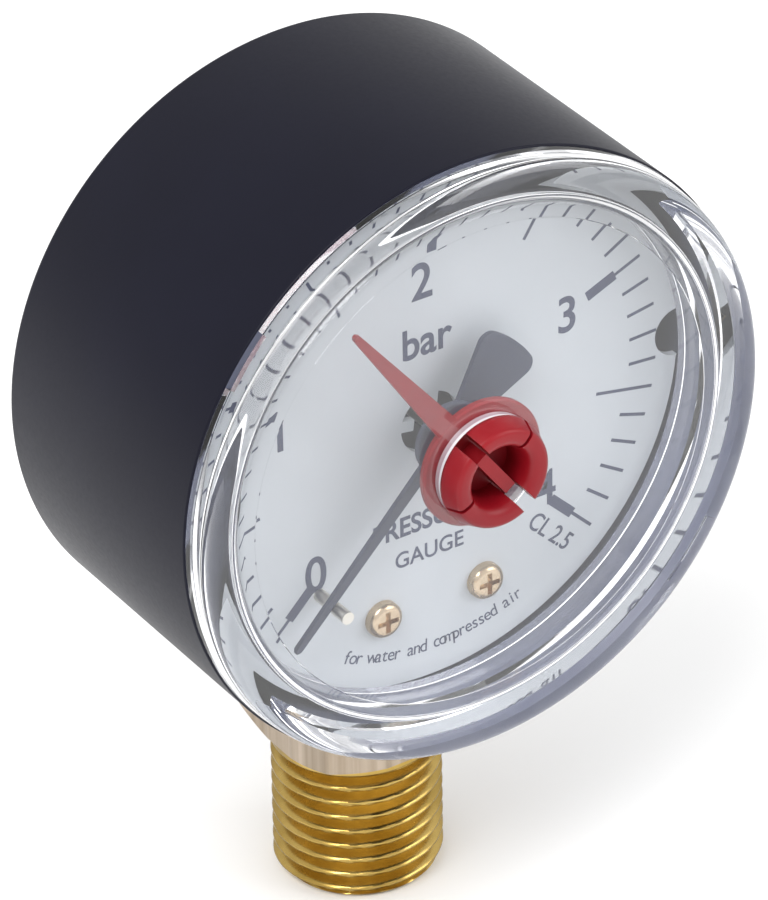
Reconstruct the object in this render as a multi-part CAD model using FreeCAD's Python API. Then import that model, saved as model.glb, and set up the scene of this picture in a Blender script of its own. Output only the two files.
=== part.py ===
import FreeCAD, Part
import math
import os

from FreeCAD import Vector

# Bourdon-tube pressure gauge, nominal size 50 mm, bottom connection G 1/4 B.
#
# Frame, in millimetres: the origin is the centre of the lower end face of the threaded stem, +Z runs up
# the stem, and the dial faces -Y.  The case axis is parallel to Y at the height CENTRE_HEIGHT.
# Places on the dial and in the movement are given as (across, up) from the case axis, as seen from the
# front.  Angles on the dial are clock angles: 0 is twelve o'clock and positive is clockwise.

# ---------------------------------------------------------------- driving dimensions
CENTRE_HEIGHT = 45.0

CASE_RADIUS = 24.46
CASE_WALL = 1.56
CASE_FRONT = -16.19
CASE_BACK = 9.5
CASE_SHOULDER = 7.46          # where the back bevel starts
CASE_BEVEL = 2.0
CASE_BACK_WALL = 1.6
CASE_MOUTH = 0.64             # bevel inside the case's front edge
SNAP_GROOVE = (-13.6, -12.4, 0.35)   # front, back and depth of the groove that holds the window
RIB_COUNT = 6
RIB_WIDTH = 1.4
RIB_INNER = 21.2

WINDOW_RADIUS = 24.32         # at the seat on the case's front edge
WINDOW_FRONT = -18.6
WINDOW_DRAFT = 6.0            # of the outer wall, in degrees
CORNER_WIDE = 1.6             # rounded front corner, across and deep
CORNER_DEEP = 0.95
PANE_BACK = -17.1
SEAT_INNER = 23.5             # the flat seat ends here and a cone leads to the skirt
SKIRT_OUTER = 22.85
SKIRT_BACK = -11.9
SKIRT_BEVEL = 0.3
SNAP_RING = 0.3
INNER_WALL = 21.2
INNER_FILLET = 0.8            # between the pane and the inner wall
CONE_START = 19.55            # the pane's back leans back from here to the fillet
CONE_DEPTH = 0.11
BEAD_FRONT = -14.9            # behind it the inner wall steps inward
BEAD_HEIGHT = 0.3
WINDOW_HOLE = 4.2
NOTCHES = ((-52.2, 4.6), (128.0, 5.8))   # clock angle and width
NOTCH_DEPTH = 0.5

DIAL_FRONT = -10.2
DIAL_THICK = 0.6
DIAL_RADIUS = 22.0
DIAL_NOTCH = 2.0
DIAL_HOLE = 2.5
DIAL_TABS = (8.0, 98.0, 188.0, 278.0)     # clock angles of the tabs in the dial's hole
TAB_WIDTH = 0.9
TAB_INNER = 1.4
DIAL_SCREWS = ((-4.5, -15.35), (4.5, -15.35))

STOP_PIN_RADIUS = 0.5
STOP_PIN_AT = (15.0, -139.0)  # radius and clock angle
STOP_PIN_FRONT = -14.0
STOP_PIN_FOOT = 0.85

THREAD_RADIUS = 6.5785        # G 1/4
THREAD_PITCH = 1.337
THREAD_DEPTH = 0.856
THREAD_TURNS = 8
STEM_CHAMFER = 0.88
SQUARE = 14.0                 # across the wrench flats
SQUARE_BOTTOM = 12.6
SQUARE_TURNED = 7.2           # radius where the square's lower chamfer starts
PORT_RADIUS = 1.5
BLOCK_TOP = -12.0             # top of the stem's block, up from the case axis
BLOCK_FRONT = DIAL_FRONT + DIAL_THICK
TONGUE_TOP = -7.9
TONGUE_WIDTH = 12.0
TONGUE_DEPTH = 5.0
HOLE_CLEARANCE = 0.08
PORT_BRANCH = 0.7             # radius of the passage from the port to the tube
CASE_SCREWS = ((-4.0, -17.5), (4.0, -17.5))
CASE_SCREW_HOLE = 1.6

# screws: head radius, head height, shank radius, shank length
DIAL_SCREW = (1.45, 0.9, 0.9, 4.5)
CASE_SCREW = (2.2, 1.1, 1.2, 5.4)
PLATE_SCREW = (1.3, 0.8, 0.6, 3.6)
MOUNTING_SCREW = (1.4, 0.9, 0.8, 4.1)

TUBE_RADIUS = 17.5            # of the C-shaped tube's centre line
TUBE_WIDTH = 6.0
TUBE_THICK = 2.0
TUBE_WALL = 0.3
TUBE_START = 252.0            # angles from +X, counter-clockwise seen from the front
TUBE_END = -12.0

# y layers of the movement
FRONT_PLATE = (-7.6, -6.4)
BACK_PLATE = (-1.2, 0.0)
SECTOR_LAYER = (-4.6, -3.8)
PINION_LAYER = (-5.0, -3.4)
LINK_LAYER = (-3.5, -2.9)
EAR_LAYER = (-2.6, -1.8)
SPRING_LAYER = (-2.6, -2.15)
COLLET_LAYER = (-2.8, -1.95)

MODULE = 0.2
PINION_TEETH = 12
SECTOR_TEETH = 96             # of the full wheel that the sector is part of
PRESSURE_ANGLE = math.radians(20.0)
ADDENDUM = 0.85               # in modules
DEDENDUM = 1.15
BACKLASH = 0.05
POINTER_SWING = 270.0
SECTOR_SWING = POINTER_SWING * PINION_TEETH / SECTOR_TEETH
SECTOR_AT = -45.0             # direction of the sector's arbor from the case axis
LEVER = 3.95
LEVER_MID_ANGLE = -28.0
LINK_LENGTH = 6.6

PIVOT_RADIUS = 0.6
PIVOT_CLEARANCE = 0.05
END_SHAKE = 0.2
LINK_PIN_RADIUS = 0.45
OPEN_PIVOT_CLEARANCE = 0.25

PILLARS = ((-7.0, 4.5), (6.0, 6.8), (-6.6, -6.6))
PILLAR_RADIUS = 1.3
PILLAR_FOOT = 0.9             # radius of the riveted foot in the back plate
PLATE_MARGIN = 2.1
PLATE_FEET = ((-4.2, -9.7), (4.2, -9.7))

SPRING_INNER = 1.2
SPRING_OUTER = 4.2
SPRING_TURNS = 5
SPRING_THICK = 0.1
SPRING_START = 20.0

POINTER_AT = -135.7           # clock angle at rest, just off the stop pin
POINTER_TIP = 19.3
POINTER_LAYER = (-12.7, -12.3)
POINTER_HUB = 3.0
POINTER_HUB_LAYER = (-13.1, -11.9)
BUSH_RADIUS = 1.4
TAIL_LENGTH = 8.45
TAIL_SPREAD = 22.0            # half angle of the tail, in degrees
TAIL_CORNER = 1.0

SET_HAND_AT = -36.5
SET_HAND_TIP = 17.7
SET_HUB = 5.12
SET_HUB_LAYER = (-17.0, -16.4)
SET_BLADE_LAYER = (-16.95, -16.55)
KNOB_FRONT = -20.4
KNOB_BARB = 4.36
KNOB_NECK = 4.1
KNOB_BORE = 2.3
KNOB_SHOULDER = 3.9           # radii where the rounded outer and inner edges meet the crest
KNOB_MOUTH = 2.7
KNOB_FLOOR = -17.4
KNOB_SLOT = 1.2               # across the knob in line with the hand
KNOB_SPLIT = 0.3
SPLIT_ANGLES = (76.0, -76.0)  # of the narrow splits, from the hand
KNOB_WEB = -19.4              # front of the web in the knob's bore
WEB_WIDTH = 1.0
WEB_LENGTH = 4.2


# ---------------------------------------------------------------- helpers
def at(across, up, y=0.0):
    """A point given from the case axis."""
    return Vector(across, y, CENTRE_HEIGHT + up)


def clock(radius, angle):
    """Across and up of a point at a clock angle."""
    a = math.radians(angle)
    return radius * math.sin(a), radius * math.cos(a)


def polar(radius, angle, centre=(0.0, 0.0)):
    """Across and up of a point at an angle from +X."""
    a = math.radians(angle)
    return centre[0] + radius * math.cos(a), centre[1] + radius * math.sin(a)


def turned(profile, turn=360.0, start=0.0):
    """A ring or disc on the case axis, from (radius, y) corners, starting at an angle from +X."""
    corners = [at(r, 0, y) for r, y in profile]
    face = Part.Face(Part.makePolygon(corners + corners[:1]))
    face.rotate(at(0, 0), Vector(0, -1, 0), start)
    return face.revolve(at(0, 0), Vector(0, -1, 0), turn)


def section_lines(profile):
    """Straight edges through (radius, y) corners."""
    corners = [at(r, 0, y) for r, y in profile]
    return [Part.LineSegment(a, b).toShape() for a, b in zip(corners, corners[1:])]


def section_arc(start, middle, end):
    """An arc through three (radius, y) points."""
    return Part.Arc(*[at(r, 0, y) for r, y in (start, middle, end)]).toShape()


def disc(radius, layer, place=(0.0, 0.0)):
    """A cylinder parallel to the case axis, between two y values."""
    low, high = layer
    return Part.makeCylinder(radius, high - low, at(*place, low), Vector(0, 1, 0))


def slab(outline, layer):
    """A flat piece from a closed outline of (across, up) points."""
    low, high = layer
    corners = [at(a, u, low) for a, u in outline]
    return Part.Face(Part.makePolygon(corners + corners[:1])).extrude(Vector(0, high - low, 0))


def rounded_plate(points, margin, layer):
    """A flat plate whose outline runs round the points at a constant margin."""
    low, high = layer
    wire = Part.makePolygon([at(*p, low) for p in points + points[:1]])
    return Part.Face(wire.makeOffset2D(margin, 0)).extrude(Vector(0, high - low, 0))


def bar(start, end, radius, layer):
    """A flat bar with round ends."""
    low, high = layer
    along = Vector(end[0] - start[0], 0, end[1] - start[1])
    side = along.cross(Vector(0, 1, 0)).normalize() * radius
    p, q = at(*start, low), at(*end, low)
    corners = [p + side, q + side, q - side, p - side]
    body = Part.Face(Part.makePolygon(corners + corners[:1])).extrude(Vector(0, high - low, 0))
    return body.fuse([disc(radius, layer, start), disc(radius, layer, end)]).removeSplitter()


def about_axis(shape, clock_angle):
    """Turns a shape made at twelve o'clock to a clock angle."""
    out = shape.copy()
    out.rotate(at(0, 0), Vector(0, 1, 0), clock_angle)
    return out


def cross_screw(place, seat, sizes, facing=-1):
    """A pan-head screw with a cross recess; its head faces -Y, or +Y when facing is 1."""
    head_radius, head_height, shank_radius, shank_length = sizes
    top = seat + facing * head_height
    head = disc(head_radius, sorted((seat, top)), place)
    rim = [e for e in head.Edges if isinstance(e.Curve, Part.Circle) and abs(e.Curve.Center.y - top) < 1e-6]
    head = head.makeFillet(0.6 * head_height, rim)
    shank = disc(shank_radius, sorted((seat, seat - facing * shank_length)), place)
    cross = cross_outline(0.62 * head_radius, 0.14 * head_radius)
    outline = [(place[0] + x, place[1] + u) for x, u in cross]
    recess = slab(outline, sorted((seat + facing * 0.3 * head_height, top + facing * 0.1)))
    return head.fuse(shank).cut(recess).removeSplitter()


def cross_outline(reach, half):
    """The twelve corners of a cross."""
    return [
        (-half, reach), (half, reach), (half, half), (reach, half), (reach, -half), (half, -half),
        (half, -reach), (-half, -reach), (-half, -half), (-reach, -half), (-reach, half), (-half, half),
    ]


def involute_tooth(teeth, centre_angle):
    """Half outline of one tooth, as (radius, half angle) from root to tip."""
    pitch = MODULE * teeth / 2
    base = pitch * math.cos(PRESSURE_ANGLE)
    half = (math.pi * MODULE / 2 - BACKLASH) / 2 / pitch
    flank = half + math.tan(PRESSURE_ANGLE) - PRESSURE_ANGLE
    outline = []
    root, tip = pitch - DEDENDUM * MODULE, pitch + ADDENDUM * MODULE
    for i in range(5):
        r = root + (tip - root) * i / 4
        a = math.acos(min(1.0, base / max(r, base)))
        outline.append((r, flank - (math.tan(a) - a)))
    left = [(r, centre_angle + h) for r, h in reversed(outline)]
    right = [(r, centre_angle - h) for r, h in outline]
    return right + left


def group(solids):
    return Part.makeCompound(solids)


# ---------------------------------------------------------------- the movement's geometry
def sector_centre():
    return polar(MODULE * (PINION_TEETH + SECTOR_TEETH) / 2, SECTOR_AT)


def lever_pin():
    """The link's pin on the sector's lever, at rest."""
    return polar(LEVER, LEVER_MID_ANGLE - SECTOR_SWING / 2, sector_centre())


def tip_pin_place():
    """The link's pin on the tube's end piece, at rest: the link is square to the lever at mid swing."""
    return polar(LINK_LENGTH, LEVER_MID_ANGLE + 90.0, lever_pin())


# ---------------------------------------------------------------- case and window
def case():
    inner = CASE_RADIUS - CASE_WALL
    groove_front, groove_back, groove_depth = SNAP_GROOVE
    floor = CASE_BACK - CASE_BACK_WALL
    shell = turned([
        (0, CASE_BACK), (CASE_RADIUS - CASE_BEVEL, CASE_BACK), (CASE_RADIUS, CASE_SHOULDER),
        (CASE_RADIUS, CASE_FRONT), (inner + CASE_MOUTH, CASE_FRONT), (inner, CASE_FRONT + CASE_MOUTH),
        (inner, groove_front), (inner + groove_depth, groove_front + groove_depth),
        (inner + groove_depth, groove_back - groove_depth), (inner, groove_back),
        (inner, floor - 1.0), (inner - 1.0, floor), (0, floor),
    ])
    rib = Part.makeBox(RIB_WIDTH, floor - BLOCK_FRONT, inner + 0.3 - RIB_INNER,
                       at(-RIB_WIDTH / 2, RIB_INNER, BLOCK_FRONT))
    ribs = [about_axis(rib, (i + 0.5) * 360.0 / RIB_COUNT) for i in range(RIB_COUNT)]
    shell = shell.fuse(ribs)
    half = SQUARE / 2 + HOLE_CLEARANCE
    hole = Part.makeBox(2 * half, 2 * half, CENTRE_HEIGHT - RIB_INNER, Vector(-half, -half, 0))
    holes = [disc(CASE_SCREW_HOLE, (floor - 0.5, CASE_BACK + 0.5), p) for p in CASE_SCREWS]
    return shell.cut([hole] + holes).removeSplitter()


def window():
    wall_front = WINDOW_FRONT + CORNER_DEEP
    wall = WINDOW_RADIUS - (CASE_FRONT - wall_front) * math.tan(math.radians(WINDOW_DRAFT))
    diagonal = math.sqrt(0.5)
    outer_corner = section_arc(
        (wall - CORNER_WIDE, WINDOW_FRONT),
        (wall - CORNER_WIDE * (1 - diagonal), WINDOW_FRONT + CORNER_DEEP * (1 - diagonal)),
        (wall, wall_front),
    )
    fillet_front = PANE_BACK + CONE_DEPTH
    fillet = section_arc(
        (INNER_WALL, fillet_front + INNER_FILLET),
        (INNER_WALL - INNER_FILLET * (1 - diagonal), fillet_front + INNER_FILLET * (1 - diagonal)),
        (INNER_WALL - INNER_FILLET, fillet_front),
    )
    ring_front, ring_back = SNAP_GROOVE[0] + 0.1, SNAP_GROOVE[1] - 0.1
    outside = section_lines([
        (wall, wall_front), (WINDOW_RADIUS, CASE_FRONT), (SEAT_INNER, CASE_FRONT),
        (SKIRT_OUTER, CASE_FRONT + SEAT_INNER - SKIRT_OUTER), (SKIRT_OUTER, ring_front),
        (SKIRT_OUTER + SNAP_RING, ring_front + SNAP_RING), (SKIRT_OUTER + SNAP_RING, ring_back - SNAP_RING),
        (SKIRT_OUTER, ring_back), (SKIRT_OUTER, SKIRT_BACK - SKIRT_BEVEL),
        (SKIRT_OUTER - SKIRT_BEVEL, SKIRT_BACK),
        (INNER_WALL - BEAD_HEIGHT, SKIRT_BACK), (INNER_WALL - BEAD_HEIGHT, BEAD_FRONT + BEAD_HEIGHT),
        (INNER_WALL, BEAD_FRONT), (INNER_WALL, fillet_front + INNER_FILLET),
    ])
    pane = section_lines([
        (INNER_WALL - INNER_FILLET, fillet_front), (CONE_START, PANE_BACK), (WINDOW_HOLE, PANE_BACK),
        (WINDOW_HOLE, WINDOW_FRONT), (wall - CORNER_WIDE, WINDOW_FRONT),
    ])
    face = Part.Face(Part.Wire([outer_corner] + outside + [fillet] + pane))
    body = face.revolve(at(0, 0), Vector(0, -1, 0), 360)
    notches = []
    for angle, width in NOTCHES:
        box = Part.makeBox(width, NOTCH_DEPTH + 0.1, WINDOW_RADIUS + 1 - SEAT_INNER,
                           at(-width / 2, SEAT_INNER, CASE_FRONT - NOTCH_DEPTH))
        notches.append(about_axis(box, angle))
    return body.cut(notches).removeSplitter()


# ---------------------------------------------------------------- dial
def dial():
    layer = (DIAL_FRONT, DIAL_FRONT + DIAL_THICK)
    plate = disc(DIAL_RADIUS, layer)
    wide = (layer[0] - 1, layer[1] + 1)
    cuts = [disc(DIAL_HOLE, wide)]
    cuts += [disc(DIAL_NOTCH, wide, (side * DIAL_RADIUS, 0)) for side in (-1, 1)]
    cuts += [disc(DIAL_SCREW[2] + 0.1, wide, p) for p in DIAL_SCREWS]
    cuts.append(disc(STOP_PIN_RADIUS, wide, clock(*STOP_PIN_AT)))
    tab = Part.makeBox(TAB_WIDTH, DIAL_THICK, DIAL_HOLE + 0.3 - TAB_INNER,
                       at(-TAB_WIDTH / 2, TAB_INNER, DIAL_FRONT))
    return plate.cut(cuts).fuse([about_axis(tab, a) for a in DIAL_TABS]).removeSplitter()


def dial_screws():
    return group([cross_screw(p, DIAL_FRONT, DIAL_SCREW) for p in DIAL_SCREWS])


def stop_pin():
    back = DIAL_FRONT + DIAL_THICK
    pin = disc(STOP_PIN_RADIUS, (STOP_PIN_FRONT, back), clock(*STOP_PIN_AT))
    foot = disc(STOP_PIN_FOOT, (back, back + 0.5), clock(*STOP_PIN_AT))
    return pin.fuse(foot).removeSplitter()


# ---------------------------------------------------------------- stem
def stem():
    half = SQUARE / 2
    floor = CASE_BACK - CASE_BACK_WALL
    top = CENTRE_HEIGHT + BLOCK_TOP
    square = Part.makeBox(SQUARE, SQUARE, top - SQUARE_BOTTOM, Vector(-half, -half, SQUARE_BOTTOM))
    corner = half * math.sqrt(2)
    rise = (corner - SQUARE_TURNED) * math.tan(math.radians(30))
    turned_end = Part.makeCone(SQUARE_TURNED, corner + 1, rise + math.tan(math.radians(30)),
                               Vector(0, 0, SQUARE_BOTTOM))
    turned_end = turned_end.fuse(Part.makeCylinder(corner + 1, top, Vector(0, 0, SQUARE_BOTTOM + rise + 0.5)))
    square = square.common(turned_end)
    head = Part.makeBox(SQUARE, floor - BLOCK_FRONT, top - 20, Vector(-half, BLOCK_FRONT, 20))
    inside = CASE_RADIUS - CASE_WALL - 0.05
    head = head.common(turned([
        (0, BLOCK_FRONT), (inside, BLOCK_FRONT), (inside, floor - 1.1), (inside - 1.1, floor), (0, floor)
    ]))
    tongue = Part.makeBox(TONGUE_WIDTH, TONGUE_DEPTH, TONGUE_TOP - BLOCK_TOP,
                          Vector(-TONGUE_WIDTH / 2, BACK_PLATE[1], top))
    thread = threaded_end()
    body = square.fuse([head, tongue, thread])
    port = Part.makeCylinder(PORT_RADIUS, CENTRE_HEIGHT - TUBE_RADIUS + 1.0)
    port_to_tube = Part.makeCylinder(PORT_BRANCH, 6.0, at(0, -TUBE_RADIUS + 0.9, 0), Vector(-1, 0, 0))
    cuts = [port, port_to_tube, tube_solid(0.05, TUBE_START + 1.0, TUBE_END)]
    cuts += [disc(DIAL_SCREW[2], (BLOCK_FRONT - 0.1, DIAL_FRONT + DIAL_SCREW[3]), p) for p in DIAL_SCREWS]
    cuts += [disc(MOUNTING_SCREW[2], (BACK_PLATE[1] - 0.1, BACK_PLATE[1] + 3.0), p) for p in PLATE_FEET]
    cuts += [disc(CASE_SCREW[2], (floor - 4.0, floor + 0.1), p) for p in CASE_SCREWS]
    return body.cut(cuts).removeSplitter()


def threaded_end():
    """The thread's crests and roots as rings, with the chamfered end and the runout below the square."""
    root = THREAD_RADIUS - THREAD_DEPTH
    profile = [(0, 0), (THREAD_RADIUS - STEM_CHAMFER, 0), (THREAD_RADIUS, STEM_CHAMFER)]
    first = STEM_CHAMFER + 0.25
    for i in range(THREAD_TURNS):
        z = first + i * THREAD_PITCH
        profile += [(THREAD_RADIUS, z), (root, z + 0.4 * THREAD_PITCH), (root, z + 0.5 * THREAD_PITCH),
                    (THREAD_RADIUS, z + 0.9 * THREAD_PITCH)]
    profile += [(THREAD_RADIUS, SQUARE_BOTTOM + 1), (0, SQUARE_BOTTOM + 1)]
    corners = [Vector(r, 0, z) for r, z in profile]
    face = Part.Face(Part.makePolygon(corners + corners[:1]))
    return face.revolve(Vector(0, 0, 0), Vector(0, 0, 1), 360)


def case_screws():
    return group([cross_screw(p, CASE_BACK, CASE_SCREW, 1) for p in CASE_SCREWS])


# ---------------------------------------------------------------- Bourdon tube, tip and link
def tube_section(grow, thin=0.0):
    """The tube's flat-oval section, at the tube's radius on +X."""
    flat = (TUBE_WIDTH - TUBE_THICK) / 2
    r = TUBE_THICK / 2 + grow - thin
    a, b = at(TUBE_RADIUS - r, 0, -flat), at(TUBE_RADIUS - r, 0, flat)
    c, d = at(TUBE_RADIUS + r, 0, flat), at(TUBE_RADIUS + r, 0, -flat)
    edges = [
        Part.LineSegment(a, b).toShape(), Part.Arc(b, at(TUBE_RADIUS, 0, flat + r), c).toShape(),
        Part.LineSegment(c, d).toShape(), Part.Arc(d, at(TUBE_RADIUS, 0, -flat - r), a).toShape(),
    ]
    return Part.Wire(edges)


def tube_solid(grow, start, end, thin=0.0):
    face = Part.Face(tube_section(grow, thin))
    face.rotate(at(0, 0), Vector(0, -1, 0), end)
    return face.revolve(at(0, 0), Vector(0, -1, 0), start - end)


def bourdon_tube():
    outer = tube_solid(0.0, TUBE_START, TUBE_END)
    inner = tube_solid(0.0, TUBE_START + 1, TUBE_END - 1, TUBE_WALL)
    return outer.cut(inner)


def tube_tip():
    """The end piece soldered over the tube's end, with the ear that carries the link."""
    low, high = TUBE_RADIUS - TUBE_THICK / 2 - 0.6, TUBE_RADIUS + TUBE_THICK / 2 + 0.6
    half = TUBE_WIDTH / 2 + 0.6
    start = TUBE_END - 4.0
    cap = turned([(low, -half), (high, -half), (high, half), (low, half)], 7.0, start)
    ear = bar(polar(TUBE_RADIUS - 1.0, TUBE_END - 1.5), tip_pin_place(), 1.1, EAR_LAYER)
    pocket = tube_solid(0.05, TUBE_START, TUBE_END - 0.2)
    hole = disc(LINK_PIN_RADIUS, (-9, 9), tip_pin_place())
    return cap.fuse(ear).cut([pocket, hole]).removeSplitter()


def headed_pin(place, layer, head_layer):
    return disc(LINK_PIN_RADIUS, layer, place).fuse(disc(0.8, head_layer, place)).removeSplitter()


def tip_pin():
    """Riveted in the end piece's ear; the link turns on it."""
    return headed_pin(tip_pin_place(), (-3.7, EAR_LAYER[1]), (-4.2, -3.7))


def link():
    body = bar(tip_pin_place(), lever_pin(), 1.15, LINK_LAYER)
    holes = [
        disc(LINK_PIN_RADIUS + PIVOT_CLEARANCE, (-9, 9), tip_pin_place()),
        disc(LINK_PIN_RADIUS + OPEN_PIVOT_CLEARANCE, (-9, 9), lever_pin()),
    ]
    return body.cut(holes)


def lever_pin_piece():
    """Riveted in the sector's lever; the link's other eye sits on it."""
    return headed_pin(lever_pin(), (SECTOR_LAYER[0], -2.6), (-2.6, -2.1))


# ---------------------------------------------------------------- gears
def pinion():
    """Arbor with the pinion cut on it, from the back plate to the pointer."""
    pitch_angle = 2 * math.pi / PINION_TEETH
    toward = math.radians(SECTOR_AT)
    outline = []
    for i in range(PINION_TEETH):
        outline += involute_tooth(PINION_TEETH, toward + (i + 0.5) * pitch_angle)
    teeth = slab([(r * math.cos(a), r * math.sin(a)) for r, a in outline], PINION_LAYER)
    shoulder = disc(0.8, (FRONT_PLATE[1] + END_SHAKE, BACK_PLATE[0] - END_SHAKE))
    arbor = disc(PIVOT_RADIUS, (POINTER_HUB_LAYER[0] + 0.1, BACK_PLATE[1] - 0.2))
    return arbor.fuse([shoulder, teeth]).removeSplitter()


def sector_gear():
    """The toothed sector with its lever; a tooth gap faces a pinion tooth gap at the pitch point."""
    centre = sector_centre()
    toward = math.radians(SECTOR_AT + 180.0)
    step = 2 * math.pi / SECTOR_TEETH
    before = 2
    count = before + math.ceil(math.radians(SECTOR_SWING) / step) + 3
    outline = []
    for i in range(count):
        outline += involute_tooth(SECTOR_TEETH, toward + (before - i) * step)[::-1]
    web = MODULE * SECTOR_TEETH / 2 - 2.2
    first, last = outline[0][1], outline[-1][1]
    inner = [(web, last + (first - last) * k / 8) for k in range(9)]
    rim = [(centre[0] + r * math.cos(a), centre[1] + r * math.sin(a)) for r, a in outline + inner]
    blade = slab(rim, SECTOR_LAYER)
    degrees = [math.degrees(a) for a in (first, last)]
    arms = [bar(centre, polar(web + 0.6, d, centre), 0.7, SECTOR_LAYER)
            for d in (degrees[0] - 4.0, degrees[1] + 4.0)]
    lever = bar(centre, lever_pin(), 1.1, SECTOR_LAYER)
    hub = disc(1.9, SECTOR_LAYER, centre)
    body = blade.fuse(arms + [lever, hub])
    holes = [disc(1.0, (-9, 9), centre), disc(LINK_PIN_RADIUS, (-9, 9), lever_pin())]
    return body.cut(holes).removeSplitter()


def sector_arbor():
    centre = sector_centre()
    pivots = disc(PIVOT_RADIUS, (FRONT_PLATE[0] + 0.2, BACK_PLATE[1] - 0.2), centre)
    shoulder = disc(1.0, (FRONT_PLATE[1] + END_SHAKE, BACK_PLATE[0] - END_SHAKE), centre)
    return pivots.fuse(shoulder).removeSplitter()


# ---------------------------------------------------------------- movement frame
def plate_holes():
    return [disc(PIVOT_RADIUS + PIVOT_CLEARANCE, (-9, 9), p) for p in ((0.0, 0.0), sector_centre())]


def front_plate():
    points = [PILLARS[0], PILLARS[2], sector_centre(), PILLARS[1]]
    plate = rounded_plate(points, PLATE_MARGIN, FRONT_PLATE)
    return plate.cut(plate_holes() + [disc(PLATE_SCREW[2] + 0.1, (-9, 9), p) for p in PILLARS])


def back_plate():
    points = [PILLARS[0], PILLARS[2], PLATE_FEET[0], PLATE_FEET[1], sector_centre(), PILLARS[1]]
    plate = rounded_plate(points, PLATE_MARGIN, BACK_PLATE)
    holes = plate_holes() + [disc(PILLAR_FOOT, (-9, 9), p) for p in PILLARS]
    holes += [disc(MOUNTING_SCREW[2] + 0.1, (-9, 9), p) for p in PLATE_FEET]
    holes.append(disc(0.4, (-9, 9), stud_place()))
    return plate.cut(holes)


def pillars():
    posts = []
    for place in PILLARS:
        post = disc(PILLAR_RADIUS, (FRONT_PLATE[1], BACK_PLATE[0]), place)
        post = post.fuse(disc(PILLAR_FOOT, BACK_PLATE, place))
        hole = disc(PLATE_SCREW[2], (FRONT_PLATE[1] - 0.1, FRONT_PLATE[1] + 2.5), place)
        posts.append(post.cut(hole).removeSplitter())
    return group(posts)


def plate_screws():
    return group([cross_screw(p, FRONT_PLATE[0], PLATE_SCREW) for p in PILLARS])


def mounting_screws():
    return group([cross_screw(p, BACK_PLATE[0], MOUNTING_SCREW) for p in PLATE_FEET])


# ---------------------------------------------------------------- hairspring
def stud_place():
    return polar(SPRING_OUTER + 0.45, SPRING_START + 360.0 * SPRING_TURNS)


def spiral(offset):
    steps = 24 * SPRING_TURNS
    points = []
    for i in range(steps + 1):
        r = SPRING_INNER + (SPRING_OUTER - SPRING_INNER) * i / steps + offset
        points.append(at(*polar(r, SPRING_START + 360.0 * SPRING_TURNS * i / steps), SPRING_LAYER[0]))
    curve = Part.BSplineCurve()
    curve.interpolate(points)
    return curve.toShape()


def hairspring():
    near, far = spiral(0.0), spiral(SPRING_THICK)
    ends = [
        Part.LineSegment(near.Vertexes[k].Point, far.Vertexes[k].Point).toShape() for k in (0, -1)
    ]
    face = Part.Face(Part.Wire(Part.sortEdges([near, ends[1], far, ends[0]])[0]))
    return face.extrude(Vector(0, SPRING_LAYER[1] - SPRING_LAYER[0], 0))


def hairspring_collet():
    return disc(SPRING_INNER - 0.08, COLLET_LAYER).cut(disc(0.8, (-9, 9)))


def hairspring_stud():
    """A post in the back plate that holds the spring's outer end."""
    return disc(0.4, (SPRING_LAYER[0] - 0.2, BACK_PLATE[1]), stud_place())


# ---------------------------------------------------------------- pointer and set hand
def pointer():
    blade = slab([(-0.55, 2.0), (-0.25, POINTER_TIP - 0.3), (0.0, POINTER_TIP), (0.25, POINTER_TIP - 0.3),
                  (0.55, 2.0), (0.55, -2.0), (-0.55, -2.0)], POINTER_LAYER)
    reach = TAIL_LENGTH - TAIL_CORNER
    turn = TAIL_SPREAD - math.degrees(math.asin(TAIL_CORNER / reach))
    left, right = polar(reach, 270.0 - turn), polar(reach, 270.0 + turn)
    outline = [(0.45, 0.0), (-0.45, 0.0)]
    bend = 90.0 + TAIL_SPREAD - turn
    outline += [polar(TAIL_CORNER, 180.0 - TAIL_SPREAD + bend * k / 6, left) for k in range(7)]
    outline += [polar(TAIL_LENGTH, 270.0 - turn + turn * k / 4) for k in range(1, 8)]
    outline += [polar(TAIL_CORNER, 270.0 + turn + bend * k / 6, right) for k in range(7)]
    tail = slab(outline, POINTER_LAYER)
    ring = disc(2.4, POINTER_LAYER)
    body = blade.fuse([tail, ring]).cut(disc(BUSH_RADIUS, (-20, 0))).removeSplitter()
    return about_axis(body, POINTER_AT)


def pointer_hub():
    """The bush pressed on the arbor, with the round cap over the pointer's middle."""
    front, back = POINTER_HUB_LAYER
    cap = disc(POINTER_HUB, (front, POINTER_LAYER[0]))
    bush = disc(BUSH_RADIUS, (POINTER_LAYER[0], back))
    return cap.fuse(bush).cut(disc(PIVOT_RADIUS, (front + 0.1, back + 0.1))).removeSplitter()


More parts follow.
